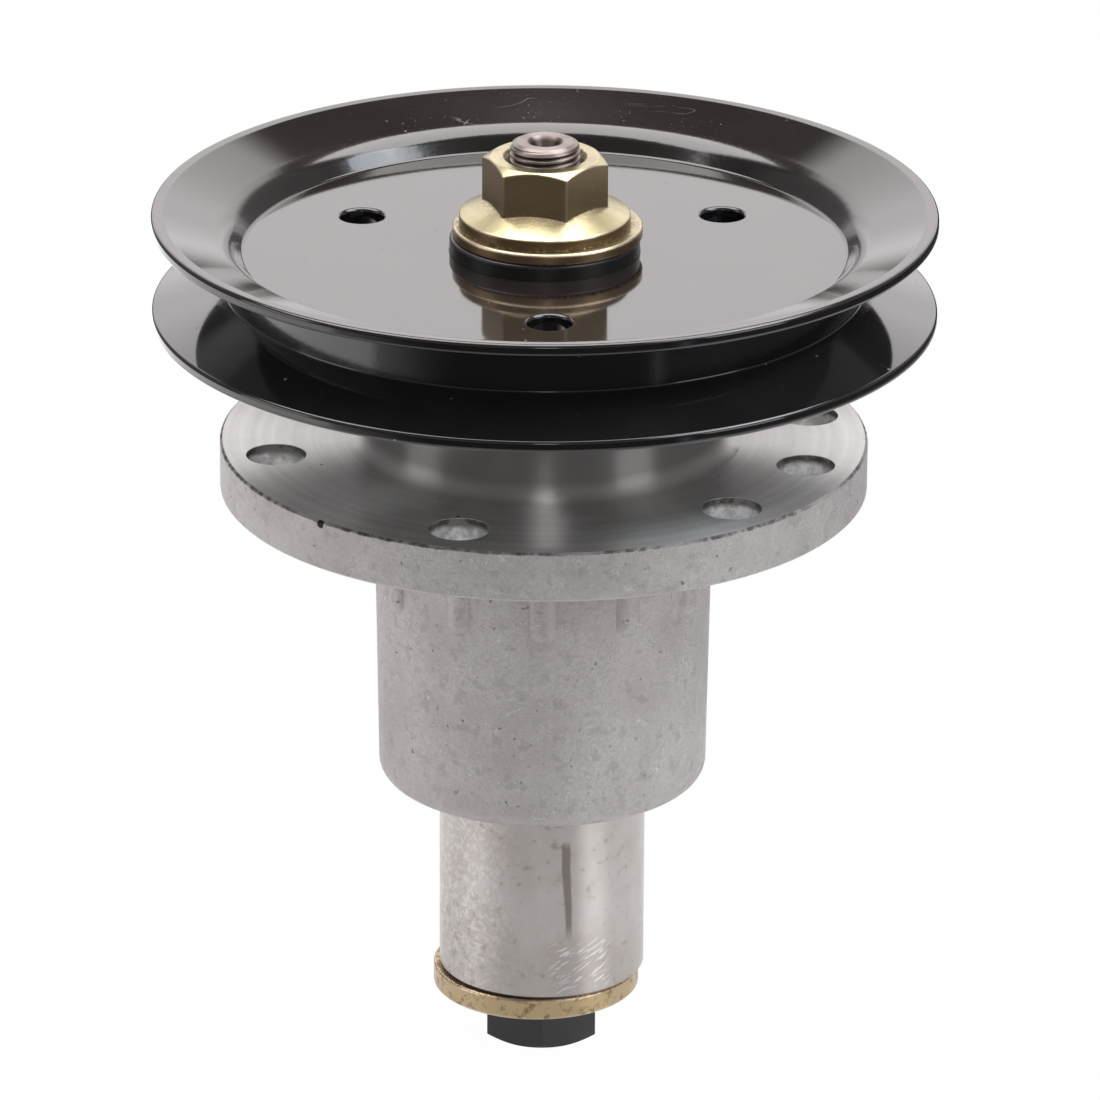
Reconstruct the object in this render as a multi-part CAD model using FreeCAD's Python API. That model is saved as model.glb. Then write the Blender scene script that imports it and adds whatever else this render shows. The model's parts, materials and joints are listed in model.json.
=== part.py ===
import FreeCAD, Part
import math
import os

# Mower deck spindle: a cast housing that bolts under a mower deck, a shaft on two ball bearings, a V-belt
# pulley of two pressed halves on top and the blade's seat, washer and bolt at the bottom.
# Millimetres. The origin is on the spindle's axis, in the flange's machined top face, and +Z runs up to the
# pulley.

# Cast aluminium housing
flange_thickness = 11.0
flange_edge_chamfer = 0.5
flange_margin = 4.6
boss_wall = 7.8
boss_height = 30.0
boss_foot_radius = 4.0
boss_edge_chamfer = 1.0
barrel_wall = 4.6
barrel_draft = 1.1
barrel_length = 66.9
barrel_foot_radius = 2.0
barrel_edge_radius = 3.6
bolt_circle = 117.5
bolt_hole_diameter = 13.0
bolt_hole_count = 6
bolt_hole_start_angle = 12.5
spare_hole_angle = 342.5
spare_hole_diameter = 12.6
rib_count = 12
rib_width = 7.0
rib_height = 23.8
rib_rise = 1.1

# Ball bearings, both of one size
bearing_bore = 30.0
bearing_outside = 62.0
bearing_width = 16.0
bearing_recess = 2.0
bearing_edge_radius = 1.0
ball_diameter = 9.525
ball_count = 9
race_groove_depth = 1.9
cage_wall = 2.8
cage_web = 0.5
seal_thickness = 0.6
seal_recess = 0.3

# Turned shaft
blade_end_diameter = 44.9
blade_end_length = 44.9
blade_end_gap = 0.8
blade_end_chamfer = 0.8
shoulder_height = 3.5
pulley_seat_diameter = 25.4
pulley_seat_relief = 1.0
top_thread_diameter = 15.0
thread_stand_out = 3.3
thread_end_chamfer = 1.4
centre_hole_diameter = 7.2
centre_hole_depth = 6.0

# Spacers round the shaft
bearing_spacer_wall = 4.0
pulley_spacer_diameter = 38.0
pulley_spacer_length = 5.4

# V-belt pulley: two pressed halves on a turned hub
pulley_diameter = 168.4
sheet_thickness = 2.7
groove_angle = 36.0
groove_depth = 17.95
step_width = 3.0
step_height = 3.55
step_radius = 2.0
shoulder_radius = 4.8
rim_edge_radius = 1.1
web_hole_diameter = 9.3
web_hole_circle = 90.0
web_hole_count = 3
web_hole_start_angle = 271.4
web_hole_edge_radius = 0.9
hub_diameter = 40.8
hub_stand_out = 3.5
hub_edge_radius = 0.8
key_size = 6.35
key_end_gap = 1.2

# Pulley washer and flange nut
pulley_washer_inset = 0.05
pulley_washer_thickness = 2.5
pulley_washer_shift = 0.6
washer_edge_chamfer = 0.35
hex_across_flats = 23.81
nut_height = 15.3
nut_turn = -10.7
nut_flange_diameter = 36.7
nut_flange_edge = 2.4
nut_flange_slope = 25.0
nut_countersink = 1.5
hex_chamfer_slope = 30.0
hex_face_inset = 0.4
hex_edge_radius = 0.5

# Blade washer and blade bolt
blade_washer_overhang = 0.1
blade_washer_thickness = 4.7
blade_washer_shift = -1.17
bolt_head_height = 11.7
blade_bolt_diameter = 15.875
bolt_shank_length = 38.0
bolt_hole_extra_depth = 4.0

# Clearances, measured on the radius
seat_clearance = 0.02
ball_clearance = 0.06
pocket_clearance = 0.12
seal_gap = 0.3
thread_clearance = 0.05
key_clearance = 0.05
washer_play = 0.25

# Levels along the axis, worked up from the flange's top face
housing_bottom = -(flange_thickness + barrel_length)
upper_bearing_top = boss_height - bearing_recess
upper_bearing_bottom = upper_bearing_top - bearing_width
lower_bearing_bottom = housing_bottom + bearing_recess
lower_bearing_top = lower_bearing_bottom + bearing_width
pulley_middle = upper_bearing_top + pulley_spacer_length + hub_stand_out + sheet_thickness
hub_bottom = upper_bearing_top + pulley_spacer_length
hub_top = 2 * pulley_middle - hub_bottom
washer_top = hub_top + pulley_washer_thickness
nut_top = washer_top + nut_height
shaft_top = nut_top + thread_stand_out
blade_end_top = housing_bottom - blade_end_gap
blade_end_bottom = blade_end_top - blade_end_length
blade_washer_bottom = blade_end_bottom - blade_washer_thickness
bolt_head_bottom = blade_washer_bottom - bolt_head_height

# Radii that several pieces share
bearing_outer_radius = bearing_outside / 2
barrel_bottom_radius = bearing_outer_radius + barrel_wall
journal_radius = bearing_bore / 2
pitch_radius = (bearing_outer_radius + journal_radius) / 2
ball_radius = ball_diameter / 2
inner_land_radius = pitch_radius - ball_radius + race_groove_depth
outer_land_radius = pitch_radius + ball_radius - race_groove_depth
top_thread_radius = top_thread_diameter / 2
blade_bolt_radius = blade_bolt_diameter / 2
pulley_seat_radius = pulley_seat_diameter / 2
hub_radius = hub_diameter / 2
blade_end_radius = blade_end_diameter / 2
pulley_radius = pulley_diameter / 2
belt_wall_slope = math.tan(math.radians(groove_angle / 2))
rim_rise = sheet_thickness + step_height + groove_depth * belt_wall_slope
hex_corner_radius = hex_across_flats / math.sqrt(3)

ORIGIN = FreeCAD.Vector(0, 0, 0)
UP = FreeCAD.Vector(0, 0, 1)


def at(radius, height):
    """A point of a turned profile, in the XZ plane."""
    return FreeCAD.Vector(radius, 0, height)


def ring_point(radius, degrees, height=0.0):
    """A point on a circle round the axis."""
    angle = math.radians(degrees)
    return FreeCAD.Vector(radius * math.cos(angle), radius * math.sin(angle), height)


def corner(before, here, after, radius):
    """Start, middle and end of the arc that rounds the corner at here."""
    back = (before - here).normalize()
    ahead = (after - here).normalize()
    half_angle = back.getAngle(ahead) / 2
    reach = radius / math.tan(half_angle)
    inward = (back + ahead).normalize()
    middle = here + inward * (radius / math.sin(half_angle) - radius)
    return here + back * reach, middle, here + ahead * reach


def outline(points):
    """A closed face in the XZ plane from (radius, height) or (radius, height, corner radius) points."""
    corners = [at(p[0], p[1]) for p in points]
    rounding = [p[2] if len(p) > 2 else 0.0 for p in points]
    arcs = []
    for i, here in enumerate(corners):
        if rounding[i] > 0:
            arcs.append(corner(corners[i - 1], here, corners[(i + 1) % len(corners)], rounding[i]))
        else:
            arcs.append((here, here, here))
    edges = []
    for i, (start, middle, end) in enumerate(arcs):
        if rounding[i] > 0:
            edges.append(Part.Arc(start, middle, end).toShape())
        edges.append(Part.LineSegment(end, arcs[(i + 1) % len(arcs)][0]).toShape())
    return Part.Face(Part.Wire(edges))


def turned(points):
    """A solid of revolution about the axis."""
    return outline(points).revolve(ORIGIN, UP, 360)


def drill(radius, bottom, top, centre=ORIGIN):
    """A vertical cylinder that cuts a round hole."""
    return Part.makeCylinder(radius, top - bottom, FreeCAD.Vector(centre.x, centre.y, bottom), UP)


def hexagon(bottom, top, turn_degrees):
    """A six-sided prism with rounded upright edges, and a corner at turn_degrees."""
    points = [ring_point(hex_corner_radius, turn_degrees + 60 * i, bottom) for i in range(7)]
    prism = Part.Face(Part.makePolygon(points)).extrude(UP * (top - bottom))
    upright = [edge for edge in prism.Edges if abs(edge.tangentAt(edge.FirstParameter).z) > 0.5]
    return prism.makeFillet(hex_edge_radius, upright)


def spindle_housing():
    """Cast flange, upper boss and lower barrel, bored through, with a seat for a bearing at each end."""
    flange_radius = (bolt_circle + bolt_hole_diameter) / 2 + flange_margin
    boss_radius = bearing_outer_radius + boss_wall
    seat_radius = bearing_outer_radius + seat_clearance
    bore_radius = outer_land_radius + seal_gap
    body = turned([
        (seat_radius, boss_height),
        (boss_radius - boss_edge_chamfer, boss_height),
        (boss_radius, boss_height - boss_edge_chamfer),
        (boss_radius, 0, boss_foot_radius),
        (flange_radius - flange_edge_chamfer, 0),
        (flange_radius, -flange_edge_chamfer),
        (flange_radius, flange_edge_chamfer - flange_thickness),
        (flange_radius - flange_edge_chamfer, -flange_thickness),
        (barrel_bottom_radius + barrel_draft, -flange_thickness, barrel_foot_radius),
        (barrel_bottom_radius, housing_bottom, barrel_edge_radius),
        (seat_radius, housing_bottom),
        (seat_radius, lower_bearing_top),
        (bore_radius, lower_bearing_top),
        (bore_radius, upper_bearing_bottom),
        (seat_radius, upper_bearing_bottom),
    ])
    body = body.fuse(casting_ribs()).removeSplitter()
    return body.cut(bolt_holes())


def casting_ribs():
    """Small round-ended ribs that run down the barrel from under the flange."""
    radius = rib_width / 2
    top = -flange_thickness + barrel_foot_radius / 2
    bottom = -flange_thickness - rib_height + radius
    reach = barrel_bottom_radius + barrel_draft + rib_rise - radius
    ribs = []
    for i in range(rib_count):
        foot = ring_point(reach, 270 + 360 * i / rib_count, bottom)
        ribs.append(Part.makeCylinder(radius, top - bottom, foot, UP))
        ribs.append(Part.makeSphere(radius, foot))
    return ribs


def bolt_holes():
    """The flange's even ring of bolt holes, and the one spare hole beside it."""
    spacing = 360 / bolt_hole_count
    holes = [(bolt_hole_start_angle + spacing * i, bolt_hole_diameter) for i in range(bolt_hole_count)]
    holes.append((spare_hole_angle, spare_hole_diameter))
    cutters = []
    for angle, diameter in holes:
        centre = ring_point(bolt_circle / 2, angle)
        cutters.append(drill(diameter / 2, -2 * flange_thickness, flange_thickness, centre))
    return cutters


def race_groove(middle):
    """The ring that the balls run in, a little larger than a ball."""
    return Part.makeTorus(pitch_radius, ball_radius + ball_clearance, FreeCAD.Vector(0, 0, middle), UP)


def outer_race(bottom):
    top = bottom + bearing_width
    ring = turned([
        (outer_land_radius, bottom),
        (bearing_outer_radius, bottom, bearing_edge_radius),
        (bearing_outer_radius, top, bearing_edge_radius),
        (outer_land_radius, top),
    ])
    return ring.cut(race_groove((bottom + top) / 2))


def inner_race(bottom):
    top = bottom + bearing_width
    bore = journal_radius + seat_clearance
    ring = turned([
        (bore, bottom, bearing_edge_radius),
        (inner_land_radius, bottom),
        (inner_land_radius, top),
        (bore, top, bearing_edge_radius),
    ])
    return ring.cut(race_groove((bottom + top) / 2))


def ball_places(bottom):
    """Ball centres, evenly spaced round the middle of the race."""
    middle = bottom + bearing_width / 2
    return [ring_point(pitch_radius, 360 * i / ball_count, middle) for i in range(ball_count)]


def balls(bottom):
    return Part.makeCompound([Part.makeSphere(ball_radius, place) for place in ball_places(bottom)])


def cage(bottom):
    """A ring with a round pocket for each ball."""
    middle = bottom + bearing_width / 2
    half_height = ball_radius + cage_web + pocket_clearance
    inside = pitch_radius - cage_wall / 2
    outside = pitch_radius + cage_wall / 2
    ring = turned([
        (inside, middle - half_height),
        (outside, middle - half_height),
        (outside, middle + half_height),
        (inside, middle + half_height),
    ])
    pockets = []
    for place in ball_places(bottom):
        outward = FreeCAD.Vector(place.x, place.y, 0)
        start = FreeCAD.Vector(0, 0, middle)
        pocket_radius = ball_radius + pocket_clearance
        pockets.append(Part.makeCylinder(pocket_radius, pitch_radius + cage_wall, start, outward))
    return ring.cut(pockets)


def bearing_seal(bottom):
    """A flat ring that closes a bearing: it is held by the outer race and clears the inner one."""
    inside = inner_land_radius + seal_gap
    top = bottom + seal_thickness
    return turned([(inside, bottom), (outer_land_radius, bottom), (outer_land_radius, top), (inside, top)])


def spindle_shaft():
    """One turned piece: blade end, bearing shoulder, journal, keyed pulley seat and threaded top."""
    bolt_bore = blade_bolt_radius + thread_clearance
    bolt_bore_top = blade_end_bottom + bolt_shank_length - blade_washer_thickness + bolt_hole_extra_depth
    centre_radius = centre_hole_diameter / 2
    centre_rim = centre_radius + thread_end_chamfer / 2
    pulley_seat_top = hub_top - pulley_seat_relief
    body = turned([
        (0, shaft_top - centre_hole_depth - centre_radius),
        (centre_radius, shaft_top - centre_hole_depth),
        (centre_radius, shaft_top - thread_end_chamfer / 2),
        (centre_rim, shaft_top),
        (top_thread_radius - thread_end_chamfer, shaft_top),
        (top_thread_radius, shaft_top - thread_end_chamfer),
        (top_thread_radius, pulley_seat_top),
        (pulley_seat_radius, pulley_seat_top),
        (pulley_seat_radius, upper_bearing_top),
        (journal_radius, upper_bearing_top),
        (journal_radius, lower_bearing_bottom),
        (journal_radius + shoulder_height, lower_bearing_bottom),
        (journal_radius + shoulder_height, blade_end_top),
        (blade_end_radius - blade_end_chamfer, blade_end_top),
        (blade_end_radius, blade_end_top - blade_end_chamfer),
        (blade_end_radius, blade_end_bottom + blade_end_chamfer),
        (blade_end_radius - blade_end_chamfer, blade_end_bottom),
        (bolt_bore, blade_end_bottom),
        (bolt_bore, bolt_bore_top),
        (0, bolt_bore_top + bolt_bore / 2),
    ])
    return body.cut(key_block(key_clearance, pulley_seat_top))


def key_block(clearance, top):
    """The key's own block, or with a clearance the slot that it lies in, from its foot up to top."""
    half_width = key_size / 2 + clearance
    inner = pulley_seat_radius - key_size / 2 - clearance
    foot = hub_bottom + key_end_gap - clearance
    depth = key_size + 2 * clearance
    return Part.makeBox(depth, 2 * half_width, top - foot, FreeCAD.Vector(inner, -half_width, foot))


def pulley_key():
    return key_block(0.0, hub_top - key_end_gap)


def bearing_spacer():
    """The tube that holds the two inner races apart."""
    inside = journal_radius + seat_clearance
    outside = journal_radius + bearing_spacer_wall
    return turned([
        (inside, lower_bearing_top),
        (outside, lower_bearing_top),
        (outside, upper_bearing_bottom),
        (inside, upper_bearing_bottom),
    ])


def pulley_spacer():
    """The collar between the upper inner race and the pulley's hub."""
    inside = pulley_seat_radius + seat_clearance
    outside = pulley_spacer_diameter / 2
    return turned([
        (inside, upper_bearing_top),
        (outside, upper_bearing_top, washer_edge_chamfer),
        (outside, hub_bottom, washer_edge_chamfer),
        (inside, hub_bottom),
    ])


def pulley_hub():
    """The turned sleeve that carries both pressed halves, with a keyway."""
    inside = pulley_seat_radius + seat_clearance
    sleeve = turned([
        (inside, hub_bottom),
        (hub_radius, hub_bottom, hub_edge_radius),
        (hub_radius, hub_top, hub_edge_radius),
        (inside, hub_top),
    ])
    through = 2 * (hub_top - hub_bottom)
    slot = key_block(key_clearance, hub_top + through)
    slot.translate(UP * -(through / 2))
    return sleeve.cut(slot)


def offset_path(points, distance):
    """The path moved sideways by distance, with its corners kept sharp."""
    normals = []
    for (r1, z1), (r2, z2) in zip(points, points[1:]):
        length = math.hypot(r2 - r1, z2 - z1)
        normals.append(((z2 - z1) / length, (r1 - r2) / length))
    moved = []
    for i, (r, z) in enumerate(points):
        before = normals[max(i - 1, 0)]
        after = normals[min(i, len(normals) - 1)]
        share = 1 + before[0] * after[0] + before[1] * after[1]
        moved.append((
            r + distance * (before[0] + after[0]) / share,
            z + distance * (before[1] + after[1]) / share,
        ))
    return moved


def pulley_half(side):
    """A pressed half: flat web, small step, conical belt wall and rounded rim. side is 1 above, -1 below."""
    wall_start = pulley_radius - groove_depth
    bore = hub_radius + seat_clearance
    face = [
        (bore, sheet_thickness),
        (wall_start - step_width, sheet_thickness),
        (wall_start, sheet_thickness + step_height),
        (pulley_radius, rim_rise),
    ]
    back = offset_path(face, sheet_thickness)
    rim_back = rim_rise - sheet_thickness / math.cos(math.radians(groove_angle / 2))
    profile = [
        face[0],
        (*face[1], step_radius),
        (*face[2], shoulder_radius + sheet_thickness),
        (*face[3], rim_edge_radius),
        (pulley_radius, rim_back, rim_edge_radius),
        (*back[2], shoulder_radius),
        (*back[1], step_radius + sheet_thickness),
        (bore, 0),
    ]
    half = turned([(p[0], pulley_middle + side * p[1], *p[2:]) for p in profile])
    angles = [web_hole_start_angle + 360 * i / web_hole_count for i in range(web_hole_count)]
    centres = [ring_point(web_hole_circle / 2, angle) for angle in angles]
    low = pulley_middle - rim_rise
    high = pulley_middle + rim_rise
    half = half.cut([drill(web_hole_diameter / 2, low, high, centre) for centre in centres])
    outer_face = pulley_middle + side * sheet_thickness
    return half.makeFillet(web_hole_edge_radius, hole_mouths(half, centres, outer_face))


def hole_mouths(half, centres, height):
    """The edges where the web's punched holes meet its outer face."""
    mouths = []
    for edge in half.Edges:
        middle = edge.CenterOfMass
        if any((middle - centre - UP * height).Length < web_hole_diameter / 4 for centre in centres):
            mouths.append(edge)
    return mouths


def flat_washer(outside, bolt_radius, bottom, thickness, shift):
    """A flat ring with broken edges, pushed off the axis by shift within its bore's play."""
    top = bottom + thickness
    inside = bolt_radius + abs(shift) + washer_play
    ring = turned([
        (inside, bottom),
        (outside - washer_edge_chamfer, bottom),
        (outside, bottom + washer_edge_chamfer),
        (outside, top - washer_edge_chamfer),
        (outside - washer_edge_chamfer, top),
        (inside, top),
    ])
    ring.translate(FreeCAD.Vector(shift, 0, 0))
    return ring


def hex_chamfer(face_height, direction):
    """A wide double cone that rounds off a hexagon's corners at one end; direction points out of that end."""
    fall = math.tan(math.radians(hex_chamfer_slope))
    face_radius = hex_across_flats / 2 - hex_face_inset
    wide = 2 * hex_corner_radius
    edge_height = face_height - direction * (wide - face_radius) * fall
    far_height = face_height - direction * 4 * wide
    return turned([(0, far_height), (wide, far_height), (wide, edge_height), (face_radius, face_height),
                   (0, face_height)])


def flange_nut():
    """A hexagon nut with a wide conical flange; one flat faces nearly to the front."""
    base = washer_top
    flange_radius = nut_flange_diameter / 2
    bore = top_thread_radius + thread_clearance
    cone_top = base + nut_flange_edge + (flange_radius - bore) * math.tan(math.radians(nut_flange_slope))
    skirt = turned([
        (0, base),
        (flange_radius, base),
        (flange_radius, base + nut_flange_edge, washer_edge_chamfer),
        (bore, cone_top),
        (0, cone_top),
    ])
    body = hexagon(base, nut_top, nut_turn).common(hex_chamfer(nut_top, 1)).fuse(skirt)
    sink_radius = bore + nut_countersink
    bore_tool = turned([
        (0, base - nut_height),
        (bore, base - nut_height),
        (bore, nut_top - (sink_radius - bore)),
        (sink_radius, nut_top),
        (sink_radius, nut_top + nut_height),
        (0, nut_top + nut_height),
    ])
    return body.cut(bore_tool)


def blade_bolt():
    """A hexagon bolt, head down, that clamps the blade's washer to the shaft; one corner faces the front."""
    head = hexagon(bolt_head_bottom, blade_washer_bottom, 30)
    head = head.common(hex_chamfer(bolt_head_bottom, -1))
    shank_top = blade_washer_bottom + bolt_shank_length
    shank = turned([
        (0, blade_washer_bottom - bolt_head_height / 2),
        (blade_bolt_radius, blade_washer_bottom - bolt_head_height / 2),
        (blade_bolt_radius, shank_top - thread_end_chamfer),
        (blade_bolt_radius - thread_end_chamfer, shank_top),
        (0, shank_top),
    ])
    return head.fuse(shank)


def bearing(name, bottom):
    """All pieces of one bearing, by node name."""
    low_seal = bottom + seal_recess
    high_seal = bottom + bearing_width - seal_recess - seal_thickness
    return {
        name + "_outer_race": outer_race(bottom),
        name + "_inner_race": inner_race(bottom),
        name + "_balls": balls(bottom),
        name + "_ball_cage": cage(bottom),
        name + "_top_seal": bearing_seal(high_seal),
        name + "_bottom_seal": bearing_seal(low_seal),
    }


def main():
    nodes = {
        "spindle_housing": spindle_housing(),
        "spindle_shaft": spindle_shaft(),
        "bearing_spacer": bearing_spacer(),
        "pulley_spacer": pulley_spacer(),
        "pulley_hub": pulley_hub(),
        "pulley_key": pulley_key(),
        "pulley_upper_half": pulley_half(1),
        "pulley_lower_half": pulley_half(-1),
        "pulley_washer": flat_washer(hub_radius - pulley_washer_inset, top_thread_radius, hub_top,
                                     pulley_washer_thickness, pulley_washer_shift),
        "flange_nut": flange_nut(),
        "blade_washer": flat_washer(blade_end_radius + blade_washer_overhang, blade_bolt_radius,
                                    blade_washer_bottom, blade_washer_thickness, blade_washer_shift),
        "blade_bolt": blade_bolt(),
    }
    nodes.update(bearing("upper_bearing", upper_bearing_bottom))
    nodes.update(bearing("lower_bearing", lower_bearing_bottom))
    os.makedirs("parts", exist_ok=True)
    for name, shape in nodes.items():
        shape.exportStep("parts/" + name + ".step")
        print(f"{name}: {len(shape.Solids)} solid(s), {shape.Volume:.0f} mm3, valid {shape.isValid()}")


main()
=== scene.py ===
# %% [markdown]
# # A mower deck spindle
# This lesson dresses a finished CAD model: a cast aluminium housing that bolts under a mower's
# deck, a black V-belt pulley on top, a yellow zinc flange nut, and a turned steel shaft whose
# lower end carries the blade. The CAD pieces come in first and never move. Blender adds the screw
# thread, the finer bends of the pulley, the finishes, the studio and the camera.

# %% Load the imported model
import json
import math

import bmesh
import bpy
from mathutils import Matrix, Vector


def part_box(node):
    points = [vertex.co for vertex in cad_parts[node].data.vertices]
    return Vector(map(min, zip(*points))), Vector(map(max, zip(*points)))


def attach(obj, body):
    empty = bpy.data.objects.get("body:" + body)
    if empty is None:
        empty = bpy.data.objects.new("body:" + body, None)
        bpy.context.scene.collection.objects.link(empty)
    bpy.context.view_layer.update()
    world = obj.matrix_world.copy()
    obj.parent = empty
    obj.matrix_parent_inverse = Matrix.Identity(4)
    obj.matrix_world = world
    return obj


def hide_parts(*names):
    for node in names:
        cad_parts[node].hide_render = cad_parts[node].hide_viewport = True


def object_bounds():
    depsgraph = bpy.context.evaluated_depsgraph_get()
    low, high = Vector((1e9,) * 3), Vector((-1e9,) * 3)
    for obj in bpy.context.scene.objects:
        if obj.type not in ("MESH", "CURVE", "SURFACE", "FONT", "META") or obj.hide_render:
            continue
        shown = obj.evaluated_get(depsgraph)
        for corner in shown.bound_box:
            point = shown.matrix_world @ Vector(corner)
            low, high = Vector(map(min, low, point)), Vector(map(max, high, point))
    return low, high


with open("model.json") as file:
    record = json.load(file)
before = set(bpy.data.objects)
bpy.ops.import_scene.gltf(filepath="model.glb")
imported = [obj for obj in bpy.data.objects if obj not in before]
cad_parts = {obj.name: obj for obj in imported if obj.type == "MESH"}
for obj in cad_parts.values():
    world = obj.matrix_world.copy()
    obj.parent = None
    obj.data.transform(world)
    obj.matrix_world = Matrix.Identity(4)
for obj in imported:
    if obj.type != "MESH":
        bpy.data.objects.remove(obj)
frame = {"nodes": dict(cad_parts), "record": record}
cad_low, cad_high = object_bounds()
nodes = frame["nodes"]
scene = bpy.context.scene
MM = 0.001
print(len(nodes), "CAD pieces, box in mm", [round(v / MM, 1) for v in cad_high - cad_low])

# %% [markdown]
# ## The camera
# The photograph was taken from far away with a long lens, a little above the pulley. A camera
# could be turned by hand until it looks right. Here it is worked out instead from four measured
# numbers, so that every edge falls where the photograph has it: how steeply it looks down, how far
# away it is, its focal length counted in pixels, and the height of the point that it aims at. A
# quarter degree of roll straightens the axis.

# %% Camera
PHOTO_PIXELS = 1100
FOCAL_PIXELS = 9000
AXIS_PIXEL = 543.3
SENSOR_WIDTH = 36.0
LOOK_DOWN = math.radians(21.5)
CAMERA_ROLL = math.radians(0.265)
CAMERA_DISTANCE = 1.951
AIM = Vector((0, 0, -26.7 * MM))

lens = bpy.data.cameras.new("studio_camera")
lens.sensor_width = SENSOR_WIDTH
lens.lens = FOCAL_PIXELS / PHOTO_PIXELS * SENSOR_WIDTH
lens.shift_x = (PHOTO_PIXELS / 2 - AXIS_PIXEL) / PHOTO_PIXELS
lens.clip_end = 50
camera = bpy.data.objects.new("studio_camera", lens)
scene.collection.objects.link(camera)
forward = Vector((0, math.cos(LOOK_DOWN), -math.sin(LOOK_DOWN)))
right = Vector((1, 0, 0))
over = right.cross(forward)
facing = Matrix((right, over, -forward)).transposed().to_4x4()
stand = Matrix.Translation(AIM - forward * CAMERA_DISTANCE)
camera.matrix_world = stand @ facing @ Matrix.Rotation(CAMERA_ROLL, 4, "Z")
scene.camera = camera
print("camera at", [round(v, 3) for v in camera.matrix_world.translation])
print("lens of", round(lens.lens, 1), "mm")

# %% [markdown]
# ## Shader maths in Python
# A finish is a graph of small nodes. Building it by hand means dragging wires; written out in
# Python it soon fills pages. This class wraps one socket and overloads the arithmetic signs, so
# that 1 - mask adds a Math node and links it. One method, add, makes every other kind of node: it
# sets the node's own settings first, then its sockets.

# %% Shader maths
class Shade:
    """A shader socket that can be used in arithmetic."""

    def __init__(self, tree, socket=None):
        self.tree = tree
        self.socket = socket

    def add(self, kind, settings=None, inputs=None, output=0):
        node = self.tree.nodes.new(kind)
        for name, value in (settings or {}).items():
            setattr(node, name, value)
        for key, value in (inputs or {}).items():
            if isinstance(value, Shade):
                self.tree.links.new(value.socket, node.inputs[key])
            else:
                node.inputs[key].default_value = value
        return Shade(self.tree, node.outputs[output])

    def maths(self, operation, *values):
        return self.add("ShaderNodeMath", {"operation": operation}, dict(enumerate(values)))

    def __add__(self, other):
        return self.maths("ADD", self, other)

    def __sub__(self, other):
        return self.maths("SUBTRACT", self, other)

    def __rsub__(self, other):
        return self.maths("SUBTRACT", other, self)

    def __mul__(self, other):
        return self.maths("MULTIPLY", self, other)

    def __truediv__(self, other):
        return self.maths("DIVIDE", self, other)

    __radd__ = __add__
    __rmul__ = __mul__

    def size(self):
        return self.maths("ABSOLUTE", self)

    def most(self, other):
        return self.maths("MAXIMUM", self, other)

    def rise(self, low, high):
        """0 up to low and 1 from high on; with low above high it falls instead."""
        settings = {"interpolation_type": "SMOOTHSTEP"}
        return self.add("ShaderNodeMapRange", settings, {0: self, 1: low, 2: high})

    def mix(self, first, second):
        """The first colour where this value is 0 and the second where it is 1."""
        inputs = {0: self, 6: first, 7: second}
        return self.add("ShaderNodeMix", {"data_type": "RGBA"}, inputs, 2)

    def axis(self, index):
        return self.add("ShaderNodeSeparateXYZ", {}, {0: self}, index)

    def vector(self, x, y, z):
        return self.add("ShaderNodeCombineXYZ", {}, {0: x, 1: y, 2: z})


print("shader maths ready")

# %% [markdown]
# Some nodes come up in nearly every finish, so they get a word of their own here: noise in space,
# rings as a lathe leaves them, a bump, and the place of a point on the object. The spindle is
# round, so most marks are placed by their distance from its axis and their angle round it.

# %% Words for textures and places
def noise(where, per_metre, detail=2.0, roughness=0.5, distortion=0.0):
    """Cloudy values from 0 to 1 that vary in space."""
    inputs = {"Vector": where, "Scale": per_metre, "Detail": detail,
              "Roughness": roughness, "Distortion": distortion}
    return where.add("ShaderNodeTexNoise", {}, inputs, "Fac")


def lathe_rings(along, per_metre, detail):
    """Noise along one measure only."""
    inputs = {"W": along, "Scale": per_metre, "Detail": detail}
    return along.add("ShaderNodeTexNoise", {"noise_dimensions": "1D"}, inputs, "Fac")


def bump(height, distance, normal=None):
    """A normal that leans as if the surface rose with the height."""
    inputs = {"Height": height, "Distance": distance, "Strength": 1.0}
    if normal:
        inputs["Normal"] = normal
    return height.add("ShaderNodeBump", {}, inputs)


def object_place(shade):
    """The point's own place on the object, in metres."""
    return shade.add("ShaderNodeTexCoord", {}, {}, "Object")


def from_axis(where):
    """Distance from the spindle's axis."""
    x, y = where.axis(0), where.axis(1)
    return where.maths("SQRT", x * x + y * y)


def round_axis(where):
    """Angle round the spindle's axis."""
    return where.maths("ARCTAN2", where.axis(1), where.axis(0))


def ray_kind(shade, kind):
    """1 for rays of this kind and 0 for all others."""
    return shade.add("ShaderNodeLightPath", {}, {}, kind)


print("texture words ready")

# %% [markdown]
# A finish starts as an empty material and ends with one shader on its output. These helpers do
# both, and the second one prints how large the graph has become.

# %% Start and end of a finish
def grey(level, warm=0.0):
    """A neutral colour, or a slightly warm one."""
    return (level * (1 + warm), level, level * (1 - warm), 1.0)


def new_finish(name):
    """An empty material, and a Shade to build it with."""
    material = bpy.data.materials.new(name)
    material.use_nodes = True
    material.node_tree.nodes.clear()
    return material, Shade(material.node_tree)


def surface(material, shader):
    """Puts the shader on the material's output."""
    tree = material.node_tree
    output = tree.nodes.new("ShaderNodeOutputMaterial")
    tree.links.new(shader.socket, output.inputs["Surface"])
    print(material.name, "has", len(tree.nodes), "nodes")


print("finish helpers ready")

# %% [markdown]
# ## The studio
# The product stands in a white studio. Seen directly, world and floor are plain white. Polished
# paint and metal, though, look like whatever they reflect, so the room has structure that only
# reflections see: a bright wall behind the object, which turns the black paint silver at a grazing
# angle, a darker ceiling, a wide softbox overhead, and a dim side towards the camera.

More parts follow.
